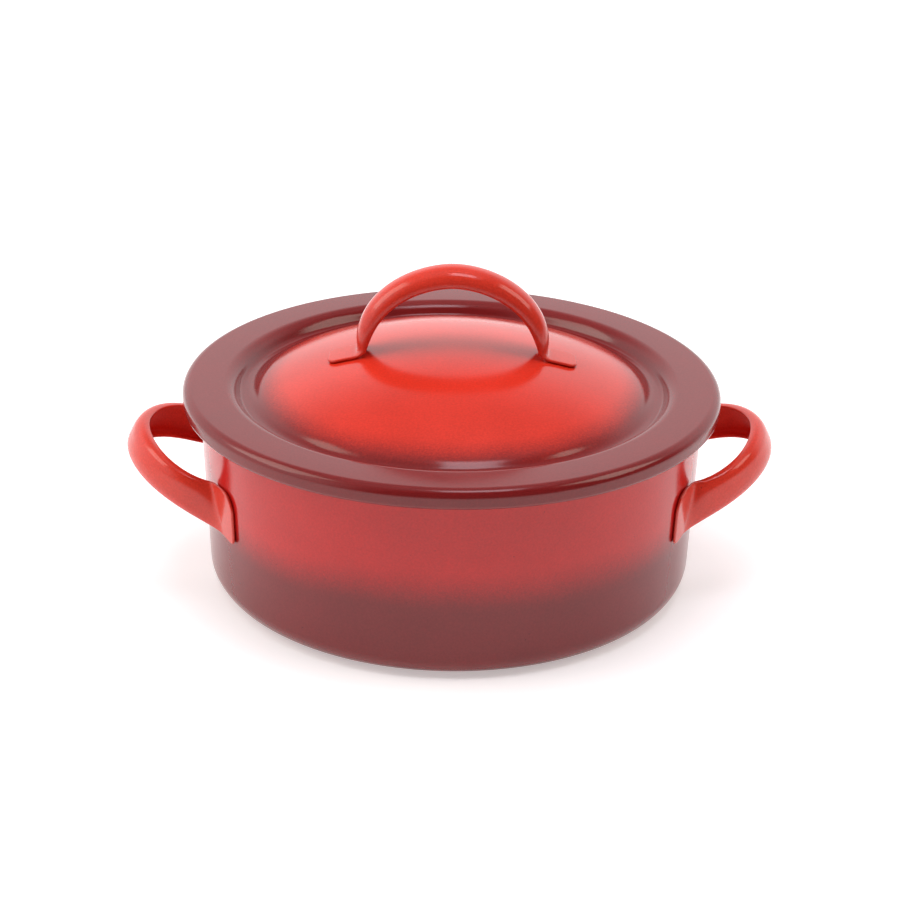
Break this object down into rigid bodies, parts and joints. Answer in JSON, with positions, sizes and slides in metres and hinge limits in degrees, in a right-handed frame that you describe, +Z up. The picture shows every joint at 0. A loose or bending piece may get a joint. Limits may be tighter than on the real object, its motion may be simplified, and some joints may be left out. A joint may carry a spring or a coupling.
{
  "type": "casserole pot",
  "caption": "Low two-handled cooking pot in enamelled steel with a lift-off domed lid and an arched lid handle.",
  "frame": {"origin": "centre of the base, on the surface that the pot stands on", "axes": "+Z up through the pot's axis, +X towards the right side handle, so the side handles lie along X"},
  "size_m": [0.2596, 0.2134, 0.13],
  "materials": {
    "red_enamel": "gloss vitreous enamel, red fading to dark maroon at the base",
    "lid_enamel": "gloss vitreous enamel, red dome and dark maroon brim",
    "orange_enamel": "gloss vitreous enamel, plain orange-red",
    "weld_steel": "resistance-welded mild steel"
  },
  "bodies": {
    "pot": {"pot_shell": "red_enamel", "left_handle": "orange_enamel", "right_handle": "orange_enamel", "left_handle_welds": "weld_steel", "right_handle_welds": "weld_steel"},
    "lid": {"lid_shell": "lid_enamel", "lid_handle": "orange_enamel", "lid_handle_welds": "weld_steel"}
  },
  "joints": [
    {"name": "lid_lift", "type": "slide", "parent": "pot", "child": "lid", "axis": [0, 0, 1], "range_m": [0, 0.12]}
  ]
}
